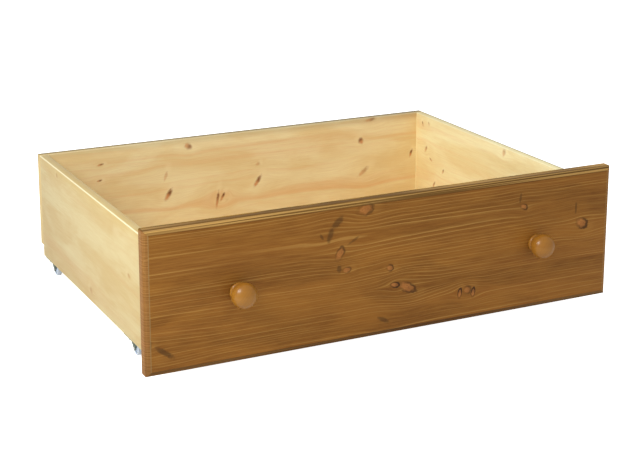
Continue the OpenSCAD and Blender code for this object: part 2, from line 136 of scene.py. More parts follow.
class Wiring:
    """Adds nodes to a tree and wires them; every method returns an output socket."""

    def __init__(self, tree):
        self.tree = tree

    def node(self, kind, **settings):
        made = self.tree.nodes.new(kind)
        for name, value in settings.items():
            setattr(made, name, value)
        return made

    def put(self, socket, value):
        """Links a socket to another, or sets its own value."""
        if isinstance(value, bpy.types.NodeSocket):
            self.tree.links.new(value, socket)
        elif value is not None:
            socket.default_value = value

    def feed(self, node, values):
        """Links or sets several of a node's inputs, each by its label."""
        for label, value in values.items():
            self.put(node.inputs[label], value)

    def math(self, operation, *values, clamp=False):
        made = self.node("ShaderNodeMath", operation=operation, use_clamp=clamp)
        for socket, value in zip(made.inputs, values):
            self.put(socket, value)
        return made.outputs[0]

    def plus(self, first, second):
        return self.math("ADD", first, second)

    def minus(self, first, second):
        return self.math("SUBTRACT", first, second)

    def times(self, first, second, clamp=False):
        return self.math("MULTIPLY", first, second, clamp=clamp)

    def over(self, first, second):
        return self.math("DIVIDE", first, second)

    def vector(self, operation, *values):
        made = self.node("ShaderNodeVectorMath", operation=operation)
        for socket, value in zip(made.inputs, values):
            self.put(socket, value)
        return made.outputs["Value" if operation in ("LENGTH", "DISTANCE", "DOT_PRODUCT") else "Vector"]

    def split(self, vector):
        made = self.node("ShaderNodeSeparateXYZ")
        self.put(made.inputs[0], vector)
        return made.outputs

    def join(self, x, y, z):
        made = self.node("ShaderNodeCombineXYZ")
        for socket, value in zip(made.inputs, (x, y, z)):
            self.put(socket, value)
        return made.outputs[0]

    def noise(self, vector, scale=1.0, detail=2.0, roughness=0.5, distortion=0.0):
        made = self.node("ShaderNodeTexNoise")
        self.feed(made, {"Vector": vector, "Scale": scale, "Detail": detail, "Roughness": roughness,
                         "Distortion": distortion})
        return made.outputs["Fac"]

    def smooth(self, value, low, high, to_low=0.0, to_high=1.0):
        made = self.node("ShaderNodeMapRange", interpolation_type="SMOOTHSTEP")
        for socket, given in zip(made.inputs, (value, low, high, to_low, to_high)):
            self.put(socket, given)
        return made.outputs[0]

    def fade(self, value, low, high):
        """One below the low value, falling smoothly to nothing above the high one."""
        return self.smooth(value, low, high, 1.0, 0.0)

    def mix(self, share, first, second, blend="MIX"):
        made = self.node("ShaderNodeMix", data_type="RGBA", blend_type=blend)
        self.put(made.inputs[0], share)
        self.put(made.inputs[6], first)
        self.put(made.inputs[7], second)
        return made.outputs[2]

    def tint(self, colour, mask, share, paint):
        """Lays a paint over a colour where a mask says, by a share; a share over one hardens the mask."""
        return self.mix(self.times(mask, share, clamp=share > 1), colour, paint)

    def bump(self, height, strength, distance):
        made = self.node("ShaderNodeBump")
        self.feed(made, {"Strength": strength, "Distance": distance, "Height": height})
        return made.outputs["Normal"]

    def group(self, tree, **values):
        made = self.node("ShaderNodeGroup", node_tree=tree)
        for name, value in values.items():
            self.put(made.inputs[name.replace("_", " ").title()], value)
        return made.outputs


def new_group(name, inputs, outputs, kind="ShaderNodeTree"):
    """A node group with sockets from (name, type, default) lists, and its wiring, input and output nodes."""
    tree = bpy.data.node_groups.new(name, kind)
    for direction, sockets in (("INPUT", inputs), ("OUTPUT", outputs)):
        for label, socket_type, *default in sockets:
            made = tree.interface.new_socket(label, in_out=direction, socket_type="NodeSocket" + socket_type)
            if default:
                made.default_value = default[0]
    wiring = Wiring(tree)
    return tree, wiring, wiring.node("NodeGroupInput").outputs, wiring.node("NodeGroupOutput").inputs


def growth_group():
    """Growth rings, fibres and soft patches of a sawn board, whose grain runs along X."""
    tree, w, given, out = new_group(
        "Growth rings",
        [("Vector", "Vector"), ("Shift", "Float", 0.0), ("Pith Across", "Float", 0.05),
         ("Pith Depth", "Float", -0.06), ("Ring Gap", "Float", 0.006), ("Wobble", "Float", 0.006),
         ("Sharpness", "Float", 3.0), ("Seed", "Float", 0.0)],
        [("Late", "Float"), ("Fibre", "Float"), ("Patch", "Float"), ("Broad", "Float")])
    x, y, z = w.split(given["Vector"])
    seed = given["Seed"]
    y_bent = w.plus(y, given["Shift"])
    slow = w.noise(w.join(w.plus(w.times(x, 1.1), seed), w.times(y_bent, 5.0), z), scale=1.6, detail=1.5)
    quick = w.noise(w.join(w.plus(w.times(x, 7.0), seed), w.times(y_bent, 30.0), w.times(z, 30.0)),
                    detail=3.0)
    across = w.minus(y_bent, given["Pith Across"])
    depth = w.minus(z, given["Pith Depth"])
    radius = w.vector("LENGTH", w.join(0.0, across, depth))
    radius = w.plus(radius, w.times(w.minus(slow, 0.5), w.times(given["Wobble"], 5.0)))
    radius = w.plus(radius, w.times(w.minus(quick, 0.5), given["Wobble"]))
    rings = w.over(radius, given["Ring Gap"])
    uneven = w.noise(w.join(w.times(rings, 0.37), seed, 0.0), detail=1.0)
    rings = w.plus(rings, w.times(uneven, 2.4))
    phase = w.math("FRACT", rings)
    late = w.times(w.math("POWER", phase, given["Sharpness"]), w.fade(phase, 0.9, 1.0))
    ring_tone = w.noise(w.join(w.math("FLOOR", rings), seed, w.times(x, 3.0)), scale=0.9, detail=1.5)
    w.put(out["Late"], w.times(late, w.smooth(ring_tone, 0.32, 0.68), clamp=True))
    fine = w.join(w.times(x, 16.0), w.times(y_bent, 620.0), w.times(z, 620.0))
    w.put(out["Fibre"], w.noise(fine, detail=4.0, roughness=0.65))
    patch = w.join(w.plus(w.times(x, 4.0), seed), w.times(y_bent, 13.0), z)
    w.put(out["Patch"], w.noise(patch, scale=1.3, detail=4.0, roughness=0.6, distortion=0.5))
    broad = w.join(w.plus(w.times(x, 0.9), w.times(seed, 1.7)),
                   w.times(y_bent, 34.0), w.times(z, 8.0))
    w.put(out["Broad"], w.noise(broad, detail=2.5, roughness=0.5, distortion=0.1))
    return tree


def knot_group():
    """One knot: how it bends the grain, its heart, rings, rim and dark end, and the pale wood past it."""
    tree, w, given, out = new_group(
        "Knot",
        [("Vector", "Vector"), ("Along", "Float"), ("Across", "Float"), ("Half Length", "Float", 0.01),
         ("Half Width", "Float", 0.006), ("Tilt", "Float", 0.0), ("Bend", "Float", 0.85)],
        [("Shift", "Float"), ("Heart", "Float"), ("Rings", "Float"), ("Rim", "Float"), ("Dark End", "Float"),
         ("Pale End", "Float")])
    x, y, _ = w.split(given["Vector"])
    along = w.minus(x, given["Along"])
    across = w.minus(y, given["Across"])
    cos = w.math("COSINE", given["Tilt"])
    sin = w.math("SINE", given["Tilt"])
    a = w.over(w.plus(w.times(along, cos), w.times(across, sin)),
               given["Half Length"])
    b = w.over(w.minus(w.times(across, cos), w.times(along, sin)),
               given["Half Width"])
    ragged = w.noise(given["Vector"], scale=150.0, detail=3.0)
    reach = w.plus(w.vector("LENGTH", w.join(a, b, 0.0)),
                   w.times(w.minus(ragged, 0.5), 0.9))
    heart = w.fade(reach, 0.45, 1.1)
    w.put(out["Heart"], heart)
    rings = w.math("SINE", w.plus(w.times(reach, 17.0), w.times(ragged, 4.0)))
    w.put(out["Rings"], w.times(w.smooth(rings, 0.1, 0.9), heart))
    dark_side = w.smooth(a, -0.9, 0.7, 0.25, 1.0)
    w.put(out["Rim"], w.times(dark_side, w.times(w.smooth(reach, 0.62, 0.95), w.fade(reach, 1.0, 1.4))))
    w.put(out["Dark End"], w.times(heart, w.smooth(a, -0.35, 0.6)))
    past = w.vector("LENGTH", w.join(w.minus(a, 1.5), w.times(b, 0.45), 0.0))
    w.put(out["Pale End"], w.fade(past, 0.2, 1.3))
    far = w.vector("LENGTH", w.join(w.over(along, w.times(given["Half Length"], 2.8)),
                                    w.over(across, w.times(given["Half Length"], 1.8)), 0.0))
    halo = w.math("EXPONENT", w.times(w.times(far, far), -1.0))
    w.put(out["Shift"], w.times(w.times(across, halo),
                               w.times(given["Bend"], -1.0)))
    return tree


def edge_group():
    """A mask along the edges of a box, from its low and high corners."""
    tree, w, given, out = new_group(
        "Box edges",
        [("Vector", "Vector"), ("Low", "Vector"), ("High", "Vector"), ("Width", "Float", 0.002)],
        [("Edge", "Float")])
    near = w.vector("MINIMUM", w.vector("SUBTRACT", given["Vector"], given["Low"]),
                    w.vector("SUBTRACT", given["High"], given["Vector"]))
    x, y, z = w.split(near)
    # the middle one of three distances is small only where two faces meet
    middle = w.math("MAXIMUM", w.math("MINIMUM", x, y),
                    w.math("MINIMUM", w.math("MAXIMUM", x, y), z))
    w.put(out["Edge"], w.fade(middle, 0.0, given["Width"]))
    return tree


def plating_group():
    """Dulled zinc plate: cloudy tone, fine draw lines and small stains."""
    tree, w, given, out = new_group(
        "Plating",
        [("Vector", "Vector"), ("Line Scale", "Float", 1400.0)],
        [("Cloud", "Float"), ("Lines", "Float"), ("Stain", "Float")])
    w.put(out["Cloud"], w.noise(given["Vector"], scale=260.0, detail=4.0, roughness=0.6))
    x, y, z = w.split(given["Vector"])
    lines = w.join(w.times(x, given["Line Scale"]), w.times(y, 90.0),
                   w.times(z, given["Line Scale"]))
    w.put(out["Lines"], w.noise(lines, detail=2.0))
    spots = w.noise(given["Vector"], scale=120.0, detail=5.0, roughness=0.7)
    w.put(out["Stain"], w.smooth(spots, 0.58, 0.72))
    return tree


# ---------------------------------------------------------------- materials


class Palette:
    """The shared shader groups, each made once."""

    def __init__(self):
        self.growth = growth_group()
        self.knot = knot_group()
        self.edges = edge_group()
        self.plating = plating_group()


GRAIN_ORDER = {"X": (0, 2, 1), "Y": (1, 2, 0), "Z": (2, 0, 1)}


def new_material(name):
    """A material with its wiring, its Principled shader and its object coordinates."""
    material = bpy.data.materials.new(name)
    material.use_nodes = True
    wiring = Wiring(material.node_tree)
    shader = material.node_tree.nodes["Principled BSDF"]
    where = wiring.node("ShaderNodeTexCoord").outputs["Object"]
    return material, wiring, shader, where


def board_space(w, where, grain, low):
    """Coordinates from a board's low corner: X along its grain, Y across its face, Z through it."""
    parts = w.split(w.vector("SUBTRACT", where, tuple(low)))
    return w.join(*[parts[i] for i in GRAIN_ORDER[grain]])


def add_knots(w, palette, place, knots):
    """Places knots given in millimetres; returns the grain's shift and a mask for each part of a knot."""
    shift = 0.0
    masks = dict.fromkeys(("Heart", "Rings", "Rim", "Dark End", "Pale End"), 0.0)
    for along, across, half_length, half_width, tilt, depth in knots:
        out = w.group(palette.knot, vector=place, along=along * MM, across=across * MM,
                      half_length=half_length * MM, half_width=half_width * MM, tilt=math.radians(tilt))
        shift = w.plus(shift, out["Shift"])
        for label, share in (("Heart", 0.35 + 0.65 * depth), ("Rings", 1.0), ("Rim", depth),
                             ("Dark End", depth), ("Pale End", 0.6)):
            masks[label] = w.math("MAXIMUM", masks[label], w.times(out[label], share))
    return shift, masks


def arris_line(w, where, corner, axes, width):
    """A mask along one arris: the points near a corner as measured on two axes."""
    offset = w.split(w.vector("SUBTRACT", where, tuple(corner)))
    away = w.vector("LENGTH", w.join(offset[axes[0]], offset[axes[1]], 0.0))
    return w.fade(away, 0.0, width)


def pine_material(palette, board, settings):
    """Clear-lacquered pine: pale ground, soft orange streaks, faint fibres and knots."""
    material, w, shader, where = new_material(board.name + " pine")
    low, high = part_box(board.node)
    place = board_space(w, where, board.grain, low)
    shift, knot = add_knots(w, palette, place, board.knots)
    pith_across, pith_depth = board.pith
    grown = w.group(palette.growth, vector=place, shift=shift, pith_across=pith_across, pith_depth=pith_depth,
                    ring_gap=board.gap, wobble=0.006, sharpness=2.2, seed=board.seed)
    ground = w.mix(w.smooth(grown["Patch"], 0.34, 0.66), settings.pine_pale, settings.pine_warm)
    bands = w.times(w.smooth(grown["Broad"], 0.48, 0.70), board.streak)
    late = w.math("MAXIMUM", bands, w.times(grown["Late"], board.streak * 0.5))
    colour = w.mix(late, ground, settings.pine_streak)
    colour = w.mix(w.smooth(grown["Fibre"], 0.35, 0.75, 0.0, 0.22), colour, rgb(196, 146, 86))
    colour = w.tint(colour, knot["Pale End"], 0.55, rgb(240, 214, 164))
    colour = w.tint(colour, knot["Heart"], 0.9, rgb(198, 122, 66))
    colour = w.tint(colour, knot["Rim"], 0.45, rgb(150, 90, 46))
    colour = w.tint(colour, knot["Dark End"], 0.95, rgb(84, 48, 26))
    # painted highlight: a pale tint along every edge of the board
    edge = w.group(palette.edges, vector=where, low=tuple(low), high=tuple(high), width=0.003)["Edge"]
    colour = w.tint(colour, edge, 0.25, rgb(250, 236, 196))
    # painted light and shade: the whole board is multiplied by its tone
    colour = w.mix(1.0, colour, (*board.tone, 1.0), blend="MULTIPLY")
    # some of these lines are painted highlights: the pale ones on the side boards
    for corner, axes, width, share, tint in board.lines:
        at = [(low, high)[side][i] for i, side in enumerate(corner)]
        line = w.times(arris_line(w, where, at, axes, width * MM), share)
        colour = w.mix(line, colour, tint)
    height = w.plus(w.times(grown["Fibre"], 0.5), w.times(late, 0.6))
    w.feed(shader, {
        "Base Color": colour,
        "Roughness": w.smooth(grown["Fibre"], 0.2, 0.8, 0.46, 0.6),
        "Specular IOR Level": 0.3,
        "Normal": w.bump(height, 0.25, 0.4 * MM),
    })
    return material


FRONT_KNOTS = [
    # along, up, half length, half width, tilt, darkness
    (416, 243, 15, 10, 8, 0.35),
    (366, 168, 13, 7, 62, 0.4),
    (380, 136, 8, 5, 10, 0.35),
    (467, 127, 7, 6, 0, 0.5),
    (478, 93, 9, 5, -10, 0.9),
    (503, 85, 19, 8, -27, 0.45),
    (616, 55, 9, 4, 82, 0.9),
    (632, 59, 8, 7, 10, 0.35),
    (645, 52, 9, 4, 80, 0.8),
    (752, 204, 8, 5, -20, 0.5),
    (886, 154, 13, 9, -25, 0.5),
    (2, 59, 8, 8, 0, 0.2),
]
FRONT_STREAKS = [
    # bark and resin streaks beside the knots, in the same form
    (361, 226, 17, 8, 46, 0.6),
    (347, 206, 17, 7, 74, 0.6),
    (330, 204, 8, 3, -60, 0.5),
    (394, 190, 16, 3, 30, 0.35),
    (34, 41, 24, 6, -38, 0.7),
    (871, 186, 14, 3, 88, 0.5),
    (744, 222, 12, 3, 84, 0.4),
    (455, 30, 16, 5, -30, 0.5),
    (365, 140, 8, 6, 90, 0.5),
]


STEP_IN = 9 * MM  # how far in from the front's outer edge its moulding meets the flat face


def stained_material(palette, settings):
    """Honey-brown stained pine: late wood stays light, soft wood goes dark, and knots turn pink."""
    material, w, shader, where = new_material("stained pine front")
    low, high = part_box("front_panel")
    place = board_space(w, where, "X", low)
    shift, knot = add_knots(w, palette, place, FRONT_KNOTS)
    streak_shift, streak = add_knots(w, palette, place, FRONT_STREAKS)
    shift = w.times(w.plus(shift, w.times(streak_shift, 0.4)), 0.75)
    grown = w.group(palette.growth, vector=place, shift=shift, pith_across=0.196, pith_depth=-0.016,
                    ring_gap=0.0056, wobble=0.0028, sharpness=6.5, seed=4.3)
    ground = w.mix(w.smooth(grown["Patch"], 0.34, 0.66), settings.stain_mid, settings.stain_dark)
    ground = w.mix(w.smooth(grown["Broad"], 0.42, 0.7, 0.0, 0.6), ground, rgb(152, 96, 38))
    along, up, _ = w.split(place)
    heartwood = w.smooth(up, 130 * MM, 200 * MM, 0.0, 0.45)
    ground = w.mix(heartwood, ground, rgb(108, 64, 20))
    fibre = w.smooth(grown["Fibre"], 0.3, 0.75)
    colour = w.mix(w.times(fibre, 0.5), ground, rgb(172, 122, 52))
    colour = w.tint(colour, grown["Late"], 0.95, settings.stain_line)
    colour = w.tint(colour, streak["Heart"], 0.9, rgb(82, 54, 22))
    colour = w.tint(colour, knot["Pale End"], 0.25, rgb(176, 128, 62))
    colour = w.tint(colour, knot["Heart"], 1.3, rgb(176, 114, 56))
    colour = w.tint(colour, knot["Rings"], 0.45, rgb(140, 84, 42))
    colour = w.tint(colour, knot["Rim"], 1.8, rgb(74, 46, 18))
    colour = w.tint(colour, knot["Dark End"], 0.55, rgb(78, 44, 20))
    # the moulding shows the grain as stripes on its rails and as ripples at the ends; along its step runs a
    # dark line on the rails and a painted highlight, a pale line, on the ends
    moulding = distance_from_edge(w, where, low, high)
    on_moulding = w.fade(moulding, STEP_IN - 0.5 * MM, STEP_IN + 0.2 * MM)
    from_ends = w.math("MINIMUM", along, w.minus(high.x - low.x, along))
    rails = w.smooth(w.minus(from_ends, moulding), -0.2 * MM, 0.4 * MM)
    on_rails = w.times(on_moulding, rails)
    stripe = w.noise(w.join(w.times(along, 1.3), w.times(moulding, 420.0), 0.0), detail=2.0)
    striped = w.mix(w.smooth(stripe, 0.42, 0.58), rgb(96, 70, 30), rgb(206, 164, 94))
    colour = w.tint(colour, on_rails, 0.75, striped)
    # painted shade: the moulding along the bottom is darkened, for its face turned down away from the light
    bottom_painted_shade = w.times(on_rails, w.smooth(up, 20 * MM, 30 * MM, 0.75, 0.0))
    colour = w.mix(bottom_painted_shade, colour, rgb(86, 52, 18))
    ripple = w.noise(w.join(moulding, w.times(up, 420.0), 0.0), detail=2.0)
    end_grain = w.mix(w.smooth(ripple, 0.35, 0.65), rgb(128, 84, 40), rgb(172, 122, 66))
    on_ends = w.minus(on_moulding, on_rails)
    colour = w.tint(colour, on_ends, 0.8, end_grain)
    # along the step: a darker line on the rails, and a pale painted highlight on the ends
    along_step = w.times(w.smooth(moulding, STEP_IN - 0.8 * MM, STEP_IN),
                       w.fade(moulding, STEP_IN + 0.4 * MM, STEP_IN + 1.6 * MM))
    step_line_and_highlight = w.mix(rails, rgb(164, 144, 98), rgb(84, 52, 22))
    colour = w.tint(colour, along_step, 0.5, step_line_and_highlight)
    rear = arris_line(w, where, (low.x, high.y, high.z), (1, 2), STEP_IN)
    patches = w.noise(w.join(w.times(along, 9.0), 0.0, 0.0), detail=1.0)
    rear_colour = w.mix(w.smooth(patches, 0.4, 0.6), rgb(88, 66, 12), rgb(176, 132, 50))
    colour = w.tint(colour, rear, 0.8, rear_colour)
    height = w.plus(w.times(grown["Late"], 0.8), w.times(fibre, 0.4))
    w.feed(shader, {
        "Base Color": colour,
        "Roughness": w.minus(w.plus(0.5, w.times(rear, 0.35)), w.times(grown["Late"], 0.1)),
        "Specular IOR Level": 0.14,
        "Normal": w.bump(height, 0.35, 0.5 * MM),
    })
    return material


def distance_from_edge(w, where, low, high):
    """How far a point lies in from the nearest edge of the front, measured across its face."""
    near = w.vector("MINIMUM", w.vector("SUBTRACT", where, tuple(low)),
                    w.vector("SUBTRACT", tuple(high), where))
    x, _, z = w.split(near)
    return w.math("MINIMUM", x, z)


def knob_material(palette, settings, name, node):
    """Gloss honey lacquer over turned pine."""
    material, w, shader, where = new_material(name)
    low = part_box(node)[0]
    place = board_space(w, where, "Y", low)
    grown = w.group(palette.growth, vector=place, shift=0.0, pith_across=-0.03, pith_depth=0.09,
                    ring_gap=0.005, wobble=0.003, sharpness=2.5, seed=low.x * 9)
    ground = w.mix(w.smooth(grown["Patch"], 0.3, 0.7), settings.honey, rgb(148, 96, 28))
    colour = w.mix(w.times(grown["Late"], 0.45), ground, rgb(138, 84, 26))
    colour = w.mix(w.smooth(grown["Fibre"], 0.4, 0.8, 0.0, 0.2), colour, rgb(140, 90, 34))
    w.feed(shader, {
        "Base Color": colour,
        "Roughness": w.smooth(grown["Fibre"], 0.2, 0.8, 0.3, 0.4),
        "Specular IOR Level": 0.3,
        "Coat Weight": 0.25,
        "Coat Roughness": 0.1,
        "Normal": w.bump(grown["Late"], 0.12, 0.0002),
    })
    return material


def plywood_material(palette):
    """Thin softwood plywood: wide rotary-cut figure on the faces, plies on the edges."""
    material, w, shader, where = new_material("plywood base")
    low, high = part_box("base_panel")
    face = w.vector("SUBTRACT", where, tuple(low))
    z = w.split(face)[2]
    grown = w.group(palette.growth, vector=face, shift=0.0, pith_across=0.3, pith_depth=-0.9,
                    ring_gap=0.012, wobble=0.05, sharpness=2.5, seed=2.2)
    colour = w.mix(w.smooth(grown["Patch"], 0.3, 0.7), rgb(228, 196, 146), rgb(214, 178, 124))
    colour = w.tint(colour, grown["Late"], 0.4, rgb(194, 146, 92))
    colour = w.mix(w.smooth(grown["Fibre"], 0.4, 0.8, 0.0, 0.2), colour, rgb(180, 136, 90))
    ply = w.math("FRACT", w.over(z, (high.z - low.z) / 2))
    inner = w.times(w.smooth(ply, 0.32, 0.36), w.fade(ply, 0.64, 0.68))
    colour = w.tint(colour, inner, 0.6, rgb(168, 122, 76))
    w.feed(shader, {
        "Base Color": colour,
        "Roughness": w.smooth(grown["Fibre"], 0.2, 0.8, 0.55, 0.7),
        "Normal": w.bump(grown["Fibre"], 0.2, 0.0003),
    })
    return material


def beech_material(palette):
    """Bare beech dowel: short darker flecks along the grain."""
    material, w, shader, where = new_material("beech dowel")
    x, y, z = w.split(where)
    fleck = w.noise(w.join(w.times(x, 1500.0), w.times(y, 220.0),
                           w.times(z, 1500.0)), detail=2.0)
    colour = w.mix(w.smooth(fleck, 0.45, 0.7), rgb(222, 186, 142), rgb(190, 142, 98))
    w.feed(shader, {
        "Base Color": colour,
        "Roughness": w.smooth(fleck, 0.3, 0.7, 0.55, 0.7),
    })
    return material


def metal_material(palette, name, colour, roughness, stain):
    """Plated steel with cloudy tone, draw lines and a little staining."""
    material, w, shader, where = new_material(name)
    out = w.group(palette.plating, vector=where)
    darker = tuple(c * 0.72 for c in colour[:3]) + (1.0,)
    tone = w.mix(w.smooth(out["Cloud"], 0.3, 0.7), tuple(colour), darker)
    tone = w.tint(tone, out["Stain"], stain, rgb(96, 92, 74))
    w.feed(shader, {
        "Base Color": tone,
        "Roughness": w.smooth(out["Cloud"], 0.25, 0.75, roughness, roughness + 0.16),
        "Normal": w.bump(out["Lines"], 0.15, 0.0001),
        "Metallic": 0.9,
    })
    return material


def wheel_material(palette, colour):
    """Slightly clear moulded plastic, scuffed on the tread."""
    material, w, shader, where = new_material("castor wheel")
    haze = w.noise(where, scale=160.0, detail=3.0)
    scuff = w.smooth(w.noise(where, scale=900.0, detail=4.0, roughness=0.7), 0.52, 0.7)
    tone = w.mix(w.smooth(haze, 0.3, 0.7), tuple(colour), rgb(204, 218, 234))
    tone = w.tint(tone, scuff, 0.25, rgb(150, 154, 158))
    w.feed(shader, {
        "Base Color": tone,
        "Roughness": w.smooth(scuff, 0.0, 1.0, 0.25, 0.5),
        "Normal": w.bump(scuff, 0.1, 0.0002),
        "Subsurface Weight": 0.25,
        "Subsurface Radius": (0.004, 0.004, 0.005),
        "Subsurface Scale": 0.5,
    })
    return material


# ---------------------------------------------------------------- meshes


def finish_piece(piece, node, material, body="drawer"):
    """Gives a piece its material, body and slot, and swaps it for the CAD node that it stands for."""
    piece.data.materials.clear()
    piece.data.materials.append(material)
    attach(piece, body)
    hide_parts(node)
    return piece


def add_object(name, mesh):
    piece = bpy.data.objects.new(name, mesh)
    bpy.context.scene.collection.objects.link(piece)
    return piece


def mesh_from(bm, name, smooth_angle=30):
    """Closes a bmesh into a mesh with smooth faces and sharp edges past an angle."""
    mesh = bpy.data.meshes.new(name)
    bm.to_mesh(mesh)
    bm.free()
    mesh.shade_smooth()
    mesh.set_sharp_from_angle(angle=math.radians(smooth_angle))
    return mesh


def eased_copy(node, name, arris, shortest, segments=2):
    """A CAD node's shape as one clean mesh, with its long sharp edges rounded over."""
    bm = bmesh.new()
    bm.from_mesh(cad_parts[node].data)
    bmesh.ops.remove_doubles(bm, verts=bm.verts, dist=1e-6)
    bmesh.ops.dissolve_limit(bm, angle_limit=math.radians(0.5), verts=bm.verts, edges=bm.edges,
                             delimit={"NORMAL"})
    sharp = [e for e in bm.edges if e.is_manifold and e.calc_length() > shortest
             and e.is_convex and e.calc_face_angle() > math.radians(25)]
    bmesh.ops.bevel(bm, geom=sharp, offset=arris, segments=segments, profile=0.5, affect="EDGES",
                    clamp_overlap=False, miter_outer="ARC")
    bmesh.ops.triangulate(bm, faces=[f for f in bm.faces if len(f.verts) > 4])
    return add_object(name, mesh_from(bm, name))


def turned(name, profile, centre, turn, steps=64, smooth_angle=30):
    """A lathe-turned solid from (radius, height) points, turned onto its axis and put at its centre."""
    bm = bmesh.new()
    rings = []
    for radius, height in profile:
        if radius < 1e-7:
            rings.append([bm.verts.new((0, 0, height))])
            continue
        ring = [bm.verts.new((radius * math.cos(a), radius * math.sin(a), height))
                for a in (2 * math.pi * i / steps for i in range(steps))]
        rings.append(ring)
    for low, high in zip(rings, rings[1:]):
        for i in range(steps):
            j = (i + 1) % steps
            corners = [low[i % len(low)], low[j % len(low)], high[j % len(high)], high[i % len(high)]]
            distinct = list(dict.fromkeys(corners))
            if len(distinct) > 2:
                bm.faces.new(distinct)
    bmesh.ops.recalc_face_normals(bm, faces=bm.faces)
    bm.transform(Matrix.Translation(centre) @ turn.to_matrix().to_4x4())
    return add_object(name, mesh_from(bm, name, smooth_angle))


def arc(centre, radius, start, end, count):
    """Points on a circle in profile space, angles in degrees from the radius direction."""
    step = (end - start) / (count - 1)
    return [(centre[0] + radius * math.cos(math.radians(start + step * i)),
             centre[1] + radius * math.sin(math.radians(start + step * i))) for i in range(count)]


ALONG_X = Euler((0, math.radians(90), 0))
FACING_FRONT = Euler((math.radians(90), 0, 0))
UPRIGHT = Euler((0, 0, 0))


def middle(node):
    low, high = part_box(node)
    return (low + high) / 2


def settings():
    return bpy.context.scene.drawer_wood, bpy.context.scene.drawer_castor, bpy.context.scene.drawer_stage


def dress(node, material):
    """Gives a piece that keeps its own shape its material."""
    for slot in node.material_slots:
        slot.material = material


def palette():
    """The one palette of this run, made on first use."""
    if not hasattr(palette, "made"):
        palette.made = Palette()
    return palette.made


# ---------------------------------------------------------------- wooden pieces


class DRAWER_OT_front(bpy.types.Operator):
    """Makes the stained front with its moulded edge"""

    bl_idname = "drawer.front"
    bl_label = "Front"

    def execute(self, context):
        wood = settings()[0]
        piece = eased_copy("front_panel", "front_board", 0.7 * MM, 6 * MM, segments=3)
        finish_piece(piece, "front_panel", stained_material(palette(), wood))
        return {"FINISHED"}


# each knot as on the front: along, up, half length, half width, tilt, darkness
BACK_KNOTS = [
    (127, 156, 7, 2.2, 12, 0.7), (124, 122, 6, 2, 8, 0.8), (323, 175, 10, 6, -30, 0.6),
    (272, 114, 12, 4, 72, 0.1), (277, 72, 14, 5, 58, 0.9), (390, 46, 18, 3.2, 80, 0.75),
    (402, 52, 10, 3, 62, 0.9), (486, 116, 6, 4, 20, 0.1), (485, 76, 15, 4.5, 56, 0.85),
    (742, 139, 8, 6, 120, 0.8), (764, 186, 15, 4, 8, 0.45), (747, 66, 17, 5, 38, 0.3),
    (872, 96, 9, 3, 70, 0.95),
]
RIGHT_KNOTS = [
    (619, 192, 6, 2.5, 70, 0.6), (592, 198, 6, 3, 70, 0.2), (603, 137, 9, 4, 120, 0.45),
    (580, 117, 7, 2.5, 25, 0.4), (527, 102, 7, 3, 120, 0.5), (565, 62, 9, 3, 120, 0.7),
    (286, 202, 9, 6, 120, 0.3),
]
LEFT_KNOTS = [
    (534, 199, 6, 5, 20, 0.2), (338, 22, 9, 6, 40, 0.1), (120, 120, 8, 5, 10, 0.1),
]
# each board's tone of painted light and shade, as shares of red, green and blue: the back and right boards
# made lighter and the left side darker, for how the light falls on each
BACK, LEFT, RIGHT = (1.14, 1.25, 1.34), (0.79, 0.84, 0.82), (1.14, 1.31, 1.40)


class Board:
    """One pine board of the box: its grain, knots, a tone of painted light and shade for the whole board, and
    lines where its colour differs.
    """

    def __init__(self, node, name, grain, seed, pith, gap, streak, knots=(), tone=(1.0, 1.0, 1.0), lines=()):
        self.node, self.name, self.grain, self.seed = node, name, grain, seed
        self.pith, self.gap, self.streak, self.knots = pith, gap, streak, knots
        self.tone, self.lines = tone, lines


# each line: corner (0 low, 1 high on X, Y, Z), the two axes across it, width, strength and colour
BACK_LINES = [
    ((0, 1, 1), (1, 2), 26, 1.0, rgb(118, 98, 48)),
    ((0, 0, 0), (0, 0), 3, 0.8, rgb(206, 180, 124)),
]
LEFT_LINES = [
    ((0, 0, 1), (0, 2), 26, 0.35, rgb(206, 176, 104)),
    # a painted highlight: a pale line along the outer top arris
    ((0, 0, 1), (0, 2), 3, 0.9, rgb(255, 246, 206)),
]
RIGHT_LINES = [
    ((1, 0, 1), (0, 2), 7, 0.9, rgb(120, 106, 60)),
    # a painted highlight: a pale line up the rear end of the inner face
    ((0, 1, 0), (0, 1), 7, 0.9, rgb(255, 242, 190)),
]
BOARDS = [
    Board("back_panel", "back_board", "X", 1.0, (0.03, -0.16), 0.012, 0.6, BACK_KNOTS, BACK, BACK_LINES),
    Board("left_side", "left_side_board", "Y", 7.1, (0.10, 0.20), 0.016, 0.3, LEFT_KNOTS, LEFT, LEFT_LINES),
    Board("right_side", "right_side_board", "Y", 3.7, (0.16, 0.12), 0.012, 0.4, RIGHT_KNOTS, RIGHT,
          RIGHT_LINES),
    Board("left_runner", "left_runner_strip", "Y", 9.2, (0.0, 0.05), 0.005, 0.5),
    Board("right_runner", "right_runner_strip", "Y", 12.4, (0.03, -0.04), 0.005, 0.5),
    Board("base_batten", "base_batten_strip", "Y", 15.6, (0.02, -0.05), 0.006, 0.5),
    Board("left_corner_block", "left_block", "Z", 18.1, (0.05, 0.02), 0.005, 0.5),
    Board("right_corner_block", "right_block", "Z", 21.5, (-0.02, 0.05), 0.005, 0.5),
]


class DRAWER_OT_box(bpy.types.Operator):
    """Makes the sides, back, base, runners, batten and corner blocks"""

    bl_idname = "drawer.box"
    bl_label = "Box boards"

    def execute(self, context):
        wood = settings()[0]
        kit = palette()
        for board in BOARDS:
            piece = eased_copy(board.node, board.name, wood.arris, 12 * MM)
            finish_piece(piece, board.node, pine_material(kit, board, wood))
        base = eased_copy("base_panel", "base_sheet", 0.4 * MM, 12 * MM)
        finish_piece(base, "base_panel", plywood_material(kit))
        dress(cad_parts["front_dowels"], beech_material(kit))
        return {"FINISHED"}


